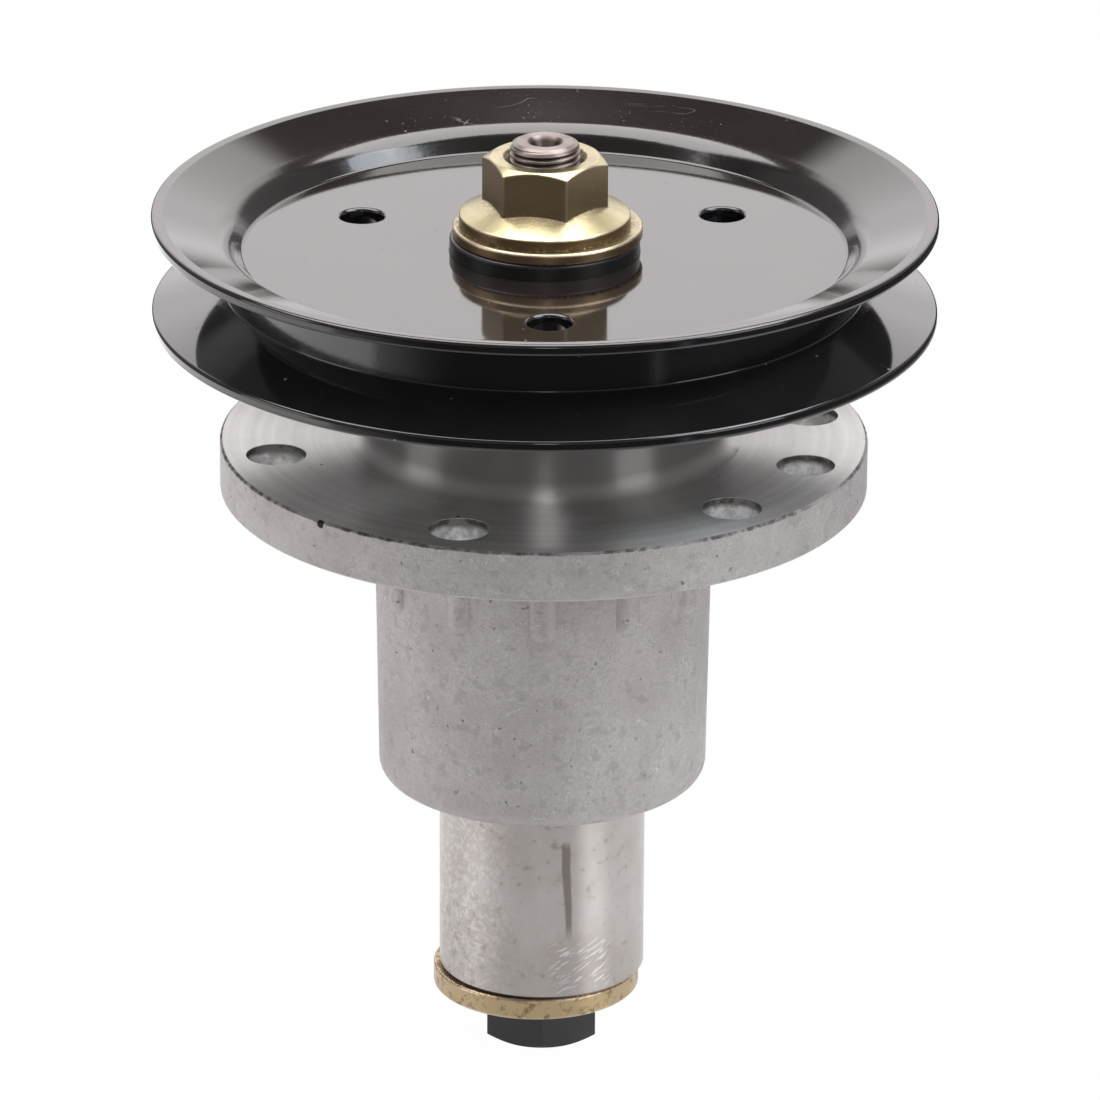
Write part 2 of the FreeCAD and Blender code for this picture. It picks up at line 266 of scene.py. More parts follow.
# %% The room that reflections see
ROOM_TINT = (1.0, 0.96, 0.97, 1.0)
WALL_LEVEL = 1.95
CEILING_LEVEL = 0.13
OVERHEAD_LEVEL = 6.5
world = bpy.data.worlds.new("white_studio")
scene.world = world
world.use_nodes = True
world.node_tree.nodes.clear()
sky = Shade(world.node_tree)
direction = sky.add("ShaderNodeTexCoord", {}, {}, "Generated")
side, depth, height = direction.axis(0), direction.axis(1), direction.axis(2)
front = depth.rise(0.15, -0.55)
back_wall = side.size().rise(0.60, 0.42) * (1.0 - 0.88 * front)
low_wall = height.rise(-0.02, 0.16) * (0.82 + 0.18 * height.rise(0.25, 0.36))
wall = low_wall * height.rise(0.66, 0.58) * back_wall.most(0.12)
above = height.most(0.05)
overhead_width = (side / above).size().rise(0.92, 0.74)
overhead_depth = ((depth / above) - 0.18).size().rise(0.42, 0.36)
overhead = overhead_width * overhead_depth
room = CEILING_LEVEL + WALL_LEVEL * wall + OVERHEAD_LEVEL * overhead
print("room of", len(world.node_tree.nodes), "nodes")

# %% [markdown]
# What the world shows depends on the kind of ray. The camera, and rays through glass, get plain
# white. Mirror rays get the room above. All the rest, which light the object, get an even dome that
# is a quarter dimmer towards the camera, so that round pieces keep some shape.

# %% World
WHITE = (1.0, 1.0, 1.0, 1.0)
DOME_LEVEL = 0.70
dome = DOME_LEVEL * (1.0 - 0.25 * front)
glossy_ray = ray_kind(sky, "Is Glossy Ray")
seen = ray_kind(sky, "Is Camera Ray") + ray_kind(sky, "Is Transmission Ray")
strength = seen + (1 - seen) * (glossy_ray * room + (1 - glossy_ray) * dome)
tint = glossy_ray.mix(WHITE, ROOM_TINT)
background = sky.add("ShaderNodeBackground", {}, {"Color": tint, "Strength": strength})
world_output = world.node_tree.nodes.new("ShaderNodeOutputWorld")
world.node_tree.links.new(background.socket, world_output.inputs["Surface"])
print("world with", len(world.node_tree.nodes), "nodes")

# %% [markdown]
# Four lamps model the metal: a cool one high on the right, whose streaks show in the pulley's step,
# upright ones on both sides of the barrel, and a narrow one beside the camera that draws a pale
# stripe on the machined flange. A lamp's power is worked out from its size and the brightness of
# its face, at four watts for each square metre of plain white, so that a change of size leaves the
# brightness as it is.

# %% Softboxes
COOL, NEUTRAL, WARM = (0.86, 0.93, 1.0), (1.0, 1.0, 1.0), (1.0, 0.96, 0.88)
FLANGE, BARREL = (0, 0, 0), (0, 0, -0.03)
WHITE_FACE_WATTS = 4.0


def softbox(name, centre, target, width, length, radiance, colour):
    """A rectangular lamp of a given brightness that faces a point."""
    lamp = bpy.data.lights.new(name, "AREA")
    lamp.shape = "RECTANGLE"
    lamp.size = width
    lamp.size_y = length
    lamp.energy = WHITE_FACE_WATTS * radiance * width * length
    lamp.color = colour
    box = bpy.data.objects.new(name, lamp)
    scene.collection.objects.link(box)
    box.location = centre
    view = Vector(target) - Vector(centre)
    box.rotation_euler = view.to_track_quat("-Z", "Y").to_euler()
    box.visible_camera = False


softbox("high_right_softbox", (1.00, -0.42, 1.20), FLANGE, 1.2, 0.42, 6.0, COOL)
softbox("right_strip", (1.35, -0.85, 0.22), BARREL, 0.70, 0.9, 1.7, NEUTRAL)
softbox("left_softbox", (-1.55, -0.25, 0.25), BARREL, 0.7, 1.0, 1.2, NEUTRAL)
softbox("front_strip", (0.02, -1.70, 0.67), FLANGE, 0.20, 0.24, 5.4, WARM)

# %% [markdown]
# The floor lies under the bolt's head. A white floor can be lit until it clips, but that would burn
# out the aluminium too. So its material mixes plain white for camera and mirror rays with a little
# diffuse white, which keeps the soft shadow under the bolt.

# %% Floor
FLOOR_SIZE = 12.0
bpy.ops.object.select_all(action="DESELECT")
bpy.ops.mesh.primitive_plane_add(size=FLOOR_SIZE, location=(0, 0, cad_low.z))
floor = bpy.context.object
floor.name = "studio_floor"
print("floor at", round(cad_low.z / MM, 1), "mm")

# %% [markdown]
# For mirror rays the floor isn't even. It is as if white cards lay round the object: one on the
# right, which ends half a metre out, and one on the left, brightest near the edge of what the
# pulley mirrors. They give the turned steel its pale upright bands, light parts of the belt groove
# and leave the middle dark. Each card is a range of the way round the floor, counted from the
# camera's side, times a range of the reach from the axis.

# %% Floor white
FLOOR_WHITE = 0.985
floor_paint, s = new_finish("floor_white")
where = object_place(s)
reach = from_axis(where)
way = s.maths("ARCTAN2", where.axis(0), where.axis(1) * -1.0)
right_card = way.rise(0.60, 0.74)
cards = right_card.most(way.rise(-0.50, -1.20))
near = 0.80 + 0.22 * cards + 0.14 * (way - 1.0).size().rise(0.30, 0.15)
dim = ((1 - cards) * reach.rise(0.30, 0.42)).most(right_card * reach.rise(0.44, 0.50))
far = 1 - 0.94 * dim
left_card = way.rise(-1.00, -1.08) * reach.rise(0.36, 0.40)
mirrored = (near * far + left_card) * (1 - 0.88 * reach.rise(0.5, 1.1))
camera_ray = ray_kind(s, "Is Camera Ray")
rays = camera_ray + ray_kind(s, "Is Glossy Ray") + ray_kind(s, "Is Transmission Ray")
glow_strength = camera_ray + (1 - camera_ray) * mirrored
glow = s.add("ShaderNodeEmission", {}, {"Color": WHITE, "Strength": glow_strength})
paint = s.add("ShaderNodeBsdfDiffuse", {}, {"Color": grey(0.9)})
white_floor = s.add("ShaderNodeMixShader", {}, {0: rays * FLOOR_WHITE, 1: paint, 2: glow})
surface(floor_paint, white_floor)
floor.data.materials.append(floor_paint)

# %% [markdown]
# ## The shaft
# The shaft is turned from one bar: a thick blade end, the bearing journal, a keyed seat for the
# pulley and a threaded top. Cylinders could be stacked and joined, but a turned part is quicker to
# draw as half of its section and to spin about the axis, as the lathe makes it. The section grows
# from one vertex, extruded from corner to corner.

# %% Drawing and spinning a section
SAME_PLACE = 1e-7


def deselect():
    if bpy.context.mode != "OBJECT":
        bpy.ops.object.mode_set(mode="OBJECT")
    bpy.ops.object.select_all(action="DESELECT")


def draw_section(name, points):
    """A closed outline in the XZ plane, extruded from one vertex; points are in mm."""
    deselect()
    bpy.ops.mesh.primitive_plane_add(size=MM, location=(0, 0, 0))
    piece = bpy.context.object
    piece.name = name
    piece.data.name = name
    bpy.ops.object.mode_set(mode="EDIT")
    bpy.ops.mesh.select_mode(type="VERT")
    bpy.ops.mesh.merge(type="CENTER")
    corners = [Vector((radius * MM, 0, height * MM)) for radius, height in points]
    first, last = corners[0], corners[-1]
    bpy.ops.transform.translate(value=first)
    for before, after in zip(corners, corners[1:]):
        bpy.ops.mesh.extrude_region_move(TRANSFORM_OT_translate={"value": after - before})
    drawn = bmesh.from_edit_mesh(piece.data)
    for vertex in drawn.verts:
        gap = min((vertex.co - first).length, (vertex.co - last).length)
        vertex.select = gap < SAME_PLACE
    bpy.ops.mesh.edge_face_add()
    bpy.ops.mesh.select_all(action="SELECT")
    return piece


def close_up(merge=1e-6):
    """Merges doubles, turns the normals outwards and leaves edit mode."""
    bpy.ops.mesh.select_all(action="SELECT")
    bpy.ops.mesh.remove_doubles(threshold=merge)
    bpy.ops.mesh.normals_make_consistent(inside=False)
    bpy.ops.object.mode_set(mode="OBJECT")


def turned_piece(name, points, steps):
    piece = draw_section(name, points)
    bpy.ops.mesh.spin(steps=steps, angle=2 * math.pi, center=(0, 0, 0), axis=(0, 0, 1))
    close_up()
    return piece


print("lathe helpers ready")

# %% [markdown]
# The bar's outer sizes come from the CAD piece that it replaces. The top has a centre hole for the
# lathe's tailstock, with a small countersink, and the lower end is bored for the blade's bolt.

# %% Turned bar
shaft_low, shaft_high = (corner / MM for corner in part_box("spindle_shaft"))
BLADE_END_RADIUS = shaft_high.x
BLADE_END_TOP = -78.7
BLADE_END_CHAMFER = 0.8
SHOULDER = (18.5, -75.9)
JOURNAL = (15.0, 28.0)
PULLEY_SEAT = (12.7, 44.8)
THREAD_RADIUS = 7.5
TIP_CHAMFER = 1.4
CENTRE_RADIUS = 3.4
CENTRE_LIP = 0.5
CENTRE_CONE = 2.6
PILOT_RADIUS = 1.9
CENTRE_DEPTH = 6.0
BOLT_BORE = 7.9875
BOLT_BORE_TOP = shaft_low.z + 37.3
BAR_STEPS = 160
shaft_top = shaft_high.z
shaft = turned_piece("turned_shaft", [
    (0, shaft_top - CENTRE_DEPTH - PILOT_RADIUS),
    (PILOT_RADIUS, shaft_top - CENTRE_DEPTH),
    (PILOT_RADIUS, shaft_top - CENTRE_CONE),
    (CENTRE_RADIUS, shaft_top - CENTRE_LIP),
    (CENTRE_RADIUS + CENTRE_LIP, shaft_top),
    (THREAD_RADIUS - TIP_CHAMFER, shaft_top),
    (THREAD_RADIUS - TIP_CHAMFER / 3, shaft_top - TIP_CHAMFER / 3),
    (THREAD_RADIUS, shaft_top - TIP_CHAMFER),
    (THREAD_RADIUS, PULLEY_SEAT[1]),
    PULLEY_SEAT,
    (PULLEY_SEAT[0], JOURNAL[1]),
    JOURNAL,
    (JOURNAL[0], SHOULDER[1]),
    SHOULDER,
    (SHOULDER[0], BLADE_END_TOP),
    (BLADE_END_RADIUS - BLADE_END_CHAMFER, BLADE_END_TOP),
    (BLADE_END_RADIUS, BLADE_END_TOP - BLADE_END_CHAMFER),
    (BLADE_END_RADIUS, shaft_low.z + BLADE_END_CHAMFER),
    (BLADE_END_RADIUS - BLADE_END_CHAMFER, shaft_low.z),
    (BOLT_BORE, shaft_low.z),
    (BOLT_BORE, BOLT_BORE_TOP),
    (0, BOLT_BORE_TOP + BOLT_BORE / 2),
], steps=BAR_STEPS)
print("bar with", len(shaft.data.polygons), "faces")

# %% [markdown]
# ## The thread
# The thread could be painted on with a bump, but its edge stands against the nut, so it is cut: a
# triangle is screwed round the axis into a spring-shaped cutter, and a Boolean takes it away from
# the bar, as a lathe tool does. The spring's two open ends are filled first, because a Boolean
# needs a closed body.

# %% Cut the thread
THREAD_PITCH = 1.411
THREAD_DEPTH = 0.8
THREAD_TURNS = 8
THREAD_STEPS = 72
MOUTH_SHARE = 0.56


def use_modifier(piece, kind, **settings):
    """Adds one modifier, sets it and applies it."""
    deselect()
    piece.select_set(True)
    bpy.context.view_layer.objects.active = piece
    modifier = piece.modifiers.new(kind.title(), kind)
    for name, value in settings.items():
        setattr(modifier, name, value)
    bpy.ops.object.modifier_apply(modifier=modifier.name)


def cut_away(piece, cutter):
    use_modifier(piece, "BOOLEAN", object=cutter, operation="DIFFERENCE", solver="EXACT")
    bpy.data.objects.remove(cutter)


cutter_bottom = shaft_top - (THREAD_TURNS - 2) * THREAD_PITCH
half_mouth = MOUTH_SHARE * THREAD_PITCH
cutter = draw_section("thread_cutter", [
    (THREAD_RADIUS - THREAD_DEPTH, cutter_bottom),
    (THREAD_RADIUS + THREAD_DEPTH / 2, cutter_bottom - half_mouth),
    (THREAD_RADIUS + THREAD_DEPTH / 2, cutter_bottom + half_mouth),
])
bpy.ops.object.mode_set(mode="OBJECT")
use_modifier(cutter, "SCREW", axis="Z", angle=2 * math.pi, screw_offset=THREAD_PITCH * MM,
             iterations=THREAD_TURNS, steps=THREAD_STEPS, render_steps=THREAD_STEPS,
             use_merge_vertices=False)
bpy.ops.object.mode_set(mode="EDIT")
bpy.ops.mesh.select_all(action="SELECT")
bpy.ops.mesh.remove_doubles(threshold=SAME_PLACE)
bpy.ops.mesh.select_all(action="DESELECT")
bpy.ops.mesh.select_mode(type="EDGE")
bpy.ops.mesh.select_non_manifold()
bpy.ops.mesh.fill_holes(sides=4)
close_up(merge=SAME_PLACE)
cut_away(shaft, cutter)
print("threaded bar with", len(shaft.data.polygons), "faces")

# %% [markdown]
# ## The keyway
# A square key locks the pulley's hub to the shaft. Its slot is milled, so a cube of the key's size
# is taken away from the seat. The shaft is then shaded smooth up to a small angle, which keeps the
# thread's crests sharp, and takes the place of its plain CAD piece on the turning body.

# %% Mill the keyway
KEY = 6.45
KEY_FOOT = 34.55
KEY_SPARE = 0.02
SHAFT_SHARP = math.radians(24)
keyway_middle = (KEY_FOOT + PULLEY_SEAT[1]) / 2 * MM
deselect()
bpy.ops.mesh.primitive_cube_add(size=MM, location=(PULLEY_SEAT[0] * MM, 0, keyway_middle))
keyway = bpy.context.object
bpy.ops.transform.resize(value=(KEY, KEY, PULLEY_SEAT[1] - KEY_FOOT + KEY_SPARE))
bpy.ops.object.transform_apply(location=True, rotation=True, scale=True)
cut_away(shaft, keyway)
deselect()
shaft.select_set(True)
bpy.context.view_layer.objects.active = shaft
bpy.ops.object.shade_smooth_by_angle(angle=SHAFT_SHARP)
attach(shaft, "rotor")
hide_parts("spindle_shaft")
print("finished shaft with", len(shaft.data.polygons), "faces")

# %% [markdown]
# ## The pressed pulley halves
# Each half is a disc of sheet steel: a flat web, a small step, a conical belt wall and a rim with a
# narrow flat lip. Where the two halves meet, a short upright wall is the floor of the belt groove.
# A subdivided mesh could round the bends, but a mirror shows every flaw of a mesh, so each bend is
# an exact arc of short edges in the section.

# %% Section of a half
MIDDLE = 39.6
SHEET = 2.7
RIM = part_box("pulley_upper_half")[1].x / MM
WEB_HOLE = 20.45
STEP_FOOT, STEP_FOOT_BEND = 64.70, 1.2
CONE_FOOT, CONE_FOOT_HEIGHT, CONE_FOOT_BEND = 68.20, 6.88, 8.0
LIP, LIP_FOOT, LIP_BEND = 2.6, 11.75, 1.5
RIM_TOP, RIM_EDGE, RIM_BEND = 11.93, 2.5, 0.9
GROOVE_WALL, GROOVE_WALL_TOP, GROOVE_BEND = 68.5, 4.33, 0.6
HALF_SECTION = [
    (WEB_HOLE, SHEET),
    (STEP_FOOT, SHEET, STEP_FOOT_BEND),
    (CONE_FOOT, CONE_FOOT_HEIGHT, CONE_FOOT_BEND),
    (RIM - LIP, LIP_FOOT, LIP_BEND),
    (RIM, RIM_TOP, RIM_BEND),
    (RIM, RIM_TOP - RIM_EDGE, RIM_BEND),
    (GROOVE_WALL, GROOVE_WALL_TOP, GROOVE_BEND),
    (GROOVE_WALL, 0),
    (WEB_HOLE, 0),
]


def soften(points, steps=8):
    """Rounds each corner that has a radius as its third number into an arc of short edges."""
    smooth = []
    for i, (radius, height, *bend) in enumerate(points):
        corner = Vector((radius, height))
        if not bend:
            smooth.append(corner)
            continue
        back = (Vector(points[i - 1][:2]) - corner).normalized()
        ahead = (Vector(points[(i + 1) % len(points)][:2]) - corner).normalized()
        half = back.angle(ahead) / 2
        middle = corner + (back + ahead).normalized() * bend[0] / math.sin(half)
        start = corner + back * bend[0] / math.tan(half) - middle
        stop = corner + ahead * bend[0] / math.tan(half) - middle
        smooth += [middle + bend[0] * start.slerp(stop, k / steps) for k in range(steps + 1)]
    return smooth


print("half section with", len(soften(HALF_SECTION)), "points")

# %% [markdown]
# The web's three holes are punched with a flared tool, which rolls their edges over. Last, a
# Weighted Normal modifier lets the large flat faces decide the shading at their borders, or else
# the web would look dented beside every bend.

# %% Pulley halves
HOLE_RADIUS, HOLE_CIRCLE, HOLE_ROLL = 4.65, 45.0, 0.9
HOLE_ANGLES = [271.4, 31.4, 151.4]
HALF_SHARP = math.radians(30)
HALF_STEPS, PUNCH_STEPS = 288, 64
FLAT_FACE_WEIGHT = 90


def web_punch(side, angle):
    """A flared punch that stands where one of the web's holes goes."""
    face = MIDDLE + side * SHEET
    mouth = [(HOLE_RADIUS + HOLE_ROLL * (1 - math.cos(a)),
              face - side * HOLE_ROLL * (1 - math.sin(a)))
             for a in (math.radians(10 * k) for k in range(10))]
    foot = [(0, MIDDLE - side), (HOLE_RADIUS, MIDDLE - side)]
    head = [(mouth[-1][0], face + side), (0, face + side)]
    punch = turned_piece("punch", foot + mouth + head, steps=PUNCH_STEPS)
    turn = math.radians(angle)
    x, y = HOLE_CIRCLE * MM * math.cos(turn), HOLE_CIRCLE * MM * math.sin(turn)
    bpy.ops.transform.translate(value=(x, y, 0))
    bpy.ops.object.transform_apply(location=True, rotation=True, scale=True)
    return punch


def pressed_half(name, node, side):
    flip = [(r, MIDDLE + side * z) for r, z in soften(HALF_SECTION)]
    half = turned_piece(name, flip, steps=HALF_STEPS)
    for angle in HOLE_ANGLES:
        cut_away(half, web_punch(side, angle))
    deselect()
    half.select_set(True)
    bpy.context.view_layer.objects.active = half
    bpy.ops.object.shade_smooth_by_angle(angle=HALF_SHARP)
    use_modifier(half, "WEIGHTED_NORMAL", keep_sharp=True, weight=FLAT_FACE_WEIGHT)
    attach(half, "rotor")
    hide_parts(node)
    print(name, "with", len(half.data.polygons), "faces")
    return half


upper_half = pressed_half("pressed_upper_half", "pulley_upper_half", 1)
lower_half = pressed_half("pressed_lower_half", "pulley_lower_half", -1)

# %% [markdown]
# ## Gloss black paint
# The pulley is pressed sheet under a thin, hard, glossy paint. Black gloss has hardly any colour of
# its own: nearly all that is seen is reflection, so the finish lives in its small faults. Dust
# specks dull it: they are the cells of a Voronoi texture, of which only a few are kept. On the back
# of the cone there are old pale scuffs, chips from fine noise and hair lines from the middle level
# of a wide one.

# %% Faults in the paint
SPECKS_PER_METRE = 260.0
SCUFF_MIDDLE = 0.008
paint_black, s = new_finish("gloss_black_paint")
where = object_place(s)
x, y, z = where.axis(0), where.axis(1), where.axis(2)
cells = {"Vector": where, "Scale": SPECKS_PER_METRE, "Randomness": 1.0}
speck_spread = s.add("ShaderNodeTexVoronoi", {}, cells, "Distance")
speck_pick = s.add("ShaderNodeTexVoronoi", {}, cells, "Color")
speck = speck_spread.rise(0.13, 0.04) * speck_pick.axis(0).rise(0.80, 0.84) * 0.7
back_cone = y.rise(0.055, 0.068) * (x - SCUFF_MIDDLE).size().rise(0.055, 0.030)
back_cone = back_cone * z.rise(0.0462, 0.0475)
chips = noise(where, 1100, 3, 0.7).rise(0.64, 0.72) * noise(where, 120, 2).rise(0.46, 0.66)
stretched = s.vector(x * 0.5, y, z * 2)
lines = (noise(stretched, 90, 2, 0.5, 0.4) - 0.5).size().rise(0.005, 0.001)
lines = lines * noise(where, 130, 1).rise(0.56, 0.68) * 0.3
scuff = back_cone * (chips * 0.5).most(lines)
fault = speck.most(scuff)
print("paint faults in", len(s.tree.nodes), "nodes")

# %% [markdown]
# A film of dust lies on all that faces up, browner on the upper half. The roughness drifts a
# little, and a very low bump bends the reflections, more so on the step, where the sheet was
# stretched. The hub inside the web's hole has the same black, but no gloss.

# %% Black paint
PAINT_BLACK, SCUFF_GREY = (0.006, 0.006, 0.007, 1), (0.30, 0.29, 0.28, 1)
LOWER_DUST, UPPER_DUST = (0.022, 0.020, 0.020, 1), (0.044, 0.032, 0.027, 1)
radius = from_axis(where)
facing_up = s.add("ShaderNodeNewGeometry", {}, {}, "Normal").axis(2).rise(0.45, 0.90)
dust = facing_up * (0.45 + 0.25 * noise(where, 70, 4, 0.6).rise(0.25, 0.75))
dusty = z.rise(0.040, 0.042).mix(LOWER_DUST, UPPER_DUST)
coat = dust.mix(PAINT_BLACK, dusty)
step = radius.rise(0.0638, 0.0650) * radius.rise(0.0712, 0.0700)
hub = radius.rise(0.0207, 0.0205)
drift = noise(where, 45, 3)
waves = noise(where, 28, 2) + (0.06 + 0.30 * step) * noise(where, 600, 3)
black = s.add("ShaderNodeBsdfPrincipled", {}, {
    "Base Color": fault.mix(coat, SCUFF_GREY),
    "Roughness": 0.055 + 0.05 * drift + 0.06 * step + 0.6 * fault + 0.25 * hub,
    "IOR": 1.5,
    "Coat Weight": 0.3 * (1 - hub) * (1 - fault),
    "Coat Roughness": 0.05,
    "Normal": bump(waves, 0.00006),
})
surface(paint_black, black)

# %% [markdown]
# ## Yellow zinc
# Nut and washers are zinc plated and passivated yellow. The plating is thin and metallic: its gold
# shifts towards olive in some places. A Bevel node compares the true surface with a rounded one to
# find the edges, which get a pale rose that is partly worn plating and partly a painted highlight.
# Upright sides and rims get darker tints as painted shade, and Ambient Occlusion finds the corner
# round the hexagon, where painted shade goes in mottled patches. One function makes both finishes,
# with colours handed in.

# %% Yellow zinc
ZINC_ROUNDING = 0.0006
CORNER_SHADE_REACH = 0.006


def zinc_finish(name, pale, deep, side_shade, rim_shade, edge_tint_and_highlight, dirt_and_shade, spots):
    """Plating colours, painted shade for sides and rim, edge tint and highlight, stain and shade
    colour.
    """
    finish, s = new_finish(name)
    where = object_place(s)
    cloud = noise(where, 160, 4, 0.6)
    fine = noise(where, 1500, 3, 0.6)
    true_normal = s.add("ShaderNodeNewGeometry", {}, {}, "Normal")
    rounded = s.add("ShaderNodeBevel", {"samples": 4}, {"Radius": ZINC_ROUNDING})
    both = {0: rounded, 1: true_normal}
    turn = s.add("ShaderNodeVectorMath", {"operation": "DOT_PRODUCT"}, both, "Value")
    edge = turn.rise(0.995, 0.90)
    reached = {"Distance": CORNER_SHADE_REACH}
    # Ambient Occlusion finds the corners, which are darkened in mottled patches: painted shade.
    corner = s.add("ShaderNodeAmbientOcclusion", {"samples": 4}, reached, "AO").rise(0.92, 0.55)
    corner_shade = corner * fine.rise(0.30, 0.58) * 0.9
    gold = cloud.rise(0.35, 0.65).mix(pale, deep)
    # Upright sides and the rims below the hexagon are made darker and browner: painted shade, with
    # a bronze hue.
    upright = true_normal.axis(2).size().rise(0.75, 0.25)
    gold = (upright * 0.8).mix(gold, side_shade)
    gold = (upright * from_axis(where).rise(0.0160, 0.0165) * 0.8).mix(gold, rim_shade)
    # Edges get a pale rose colour: partly the tint of worn plating, partly a painted highlight.
    gold = (edge * 0.8).mix(gold, edge_tint_and_highlight)
    # Spots are stains; the corners add painted shade in the same colour.
    stain_and_shade = corner_shade.most(noise(where, 500, 4, 0.65).rise(0.52, 0.66) * spots)
    zinc = s.add("ShaderNodeBsdfPrincipled", {}, {
        "Base Color": stain_and_shade.mix(gold, dirt_and_shade),
        "Metallic": 1.0,
        "Roughness": 0.22 + 0.10 * cloud + 0.06 * fine + 0.25 * stain_and_shade,
        "Normal": bump(fine + 1.5 * cloud, 0.00003, rounded),
    })
    surface(finish, zinc)
    return finish


print("zinc helper ready")

# %% [markdown]
# The nut and the washer under it are olive gold, with bronze sides and dark amber rims, both
# painted shade, and rose edges that carry a painted highlight. The washer under the blade's end
# works among wet grass: it is tan all over, spotted, with a pale rim that is partly rubbed and
# partly a painted highlight. Both get painted shade in their corners. Two calls with different
# colours are enough, because the plating is the same.

# %% Nut zinc and blade washer zinc
OLIVE, DEEP_OLIVE, BRONZE_SIDE_SHADE = (0.49, 0.44, 0.27, 1), (0.40, 0.355, 0.21, 1), (0.41, 0.305, 0.19, 1)
AMBER_RIM_SHADE, ROSE_TINT_AND_HIGHLIGHT, NUT_CORNER_SHADE = (0.28, 0.19, 0.10, 1), (0.85, 0.68, 0.54, 1), (0.10, 0.07, 0.04, 1)
TAN, DEEP_TAN = (0.46, 0.35, 0.21, 1), (0.34, 0.24, 0.13, 1)
PALE_RIM_AND_HIGHLIGHT, RUST_AND_SHADE = (0.74, 0.66, 0.54, 1), (0.20, 0.13, 0.07, 1)
CLEAN, SPOTTED = 0.0, 0.7
yellow_zinc = zinc_finish("yellow_zinc", OLIVE, DEEP_OLIVE, BRONZE_SIDE_SHADE, AMBER_RIM_SHADE, ROSE_TINT_AND_HIGHLIGHT, NUT_CORNER_SHADE, CLEAN)
worn_zinc = zinc_finish("worn_zinc", TAN, DEEP_TAN, TAN, TAN, PALE_RIM_AND_HIGHLIGHT, RUST_AND_SHADE, SPOTTED)

# %% [markdown]
# ## Cast aluminium
# The housing is one casting. Its outside is as it left the sand: grey, grainy, with pits, darker
# clouds and pale worm-like lines where the skin folded. One noise alone looks like sandpaper, so
# four sizes of it are laid over each other, and Ambient Occlusion paints shade into the hollows.

# %% Casting skin
SKIN_DARK, SKIN_PALE = (0.45, 0.42, 0.418, 1), (0.61, 0.58, 0.575, 1)
SKIN_CLOUD, SKIN_LUMP = (0.43, 0.39, 0.39, 1), (0.33, 0.305, 0.30, 1)
SKIN_HOLLOW_SHADE = (0.16, 0.145, 0.14, 1)
HOLLOW_SHADE_REACH = 0.003
aluminium, s = new_finish("cast_aluminium")
where = object_place(s)
grain = noise(where, 1400, 5, 0.65)
lumps = noise(where, 300, 4, 0.6)
cloud = noise(where, 60, 3)
pit = noise(where, 560, 2).rise(0.70, 0.76) * 0.7
worm = (noise(where, 420, 1, 0.5, 2.0) - 0.5).size().rise(0.035, 0.0)
worm = worm * noise(where, 260, 1).rise(0.50, 0.66)
skin = (grain * 0.6 + lumps * 0.4).rise(0.30, 0.70).mix(SKIN_DARK, SKIN_PALE)
skin = (cloud.rise(0.4, 0.7) * 0.6).mix(skin, SKIN_CLOUD)
skin = (lumps.rise(0.52, 0.66) * 0.5).mix(skin, SKIN_LUMP)
skin = (worm * 0.45).mix(skin, grey(0.84))
skin = pit.mix(skin, grey(0.14, 0.05))
reached = {"Distance": HOLLOW_SHADE_REACH}
# Ambient Occlusion darkens hollows and corners, beside the ribs and under the flange: painted
# shade.
hollow_shade = s.add("ShaderNodeAmbientOcclusion", {"samples": 6}, reached, "AO").rise(0.85, 0.45)
skin = (hollow_shade * 0.8).mix(skin, SKIN_HOLLOW_SHADE)
print("casting skin in", len(s.tree.nodes), "nodes")

# %% [markdown]
# Three things mark the casting: the flange's upper edge is dark in places, a small notch is cut
# into it at the front left, and the bolt holes have drilled walls. They could be modelled, but they
# are too shallow to change the outline, so each is a mask in the finish: a range of radius, angle
# and height. The notch is painted near black as painted shade, and the walls of the holes are
# painted bright as painted light, with painted shade at their mouth.

# %% Marks on the casting
FLANGE_RADIUS = 0.0698
NOTCH_ANGLE = math.radians(132.2)
NOTCH_DROP = 0.0006
z = where.axis(2)
radius = from_axis(where)
edge_noise = noise(where, 420, 4, 0.7)
top_edge = (z + 0.0010 * (edge_noise - 0.5)).rise(-0.0007, -0.0004)
top_edge = radius.rise(0.0690, 0.0693) * top_edge
edge_dark_patches = edge_noise.rise(0.38, 0.55) * noise(where, 70, 2).rise(0.36, 0.56)
# The flange's upper edge is darkened in irregular patches.
skin = (top_edge * (0.30 + 0.65 * edge_dark_patches)).mix(skin, grey(0.09, 0.05))
notch_way = (round_axis(where) + NOTCH_ANGLE) * FLANGE_RADIUS
notch_drop = z + NOTCH_DROP
notch_far = s.maths("SQRT", notch_way * notch_way + notch_drop * notch_drop)
notch = notch_far.rise(0.0011, 0.0007) * radius.rise(0.067, 0.068)
# The notch is painted near black: painted shade inside it, with a bump for its dent.
skin = notch.mix(skin, grey(0.02))
drilled = radius.rise(0.0675, 0.0670) * radius.rise(0.045, 0.046) * z.rise(-0.0109, -0.0107)
# The drilled walls are painted bright as painted light, and dark towards their mouth as painted
# shade.
hole_light_shade = (z + 0.0018 * lumps).rise(-0.0018, -0.0002).mix(grey(0.95), grey(0.07, 0.04))
hole_light_shade = (lumps.rise(0.40, 0.60) * 0.6).mix(hole_light_shade, grey(0.34, 0.02))
skin = (drilled * 0.95).mix(skin, hole_light_shade)
cast = s.add("ShaderNodeBsdfPrincipled", {}, {
    "Base Color": skin,
    "Metallic": 0.75,
    "Roughness": 0.46 + 0.2 * grain - 0.15 * drilled,
    "Normal": bump(grain + 0.8 * lumps + 0.5 * worm - 0.9 * pit - 2.0 * notch, 0.00022),
})
print("marked casting in", len(s.tree.nodes), "nodes")

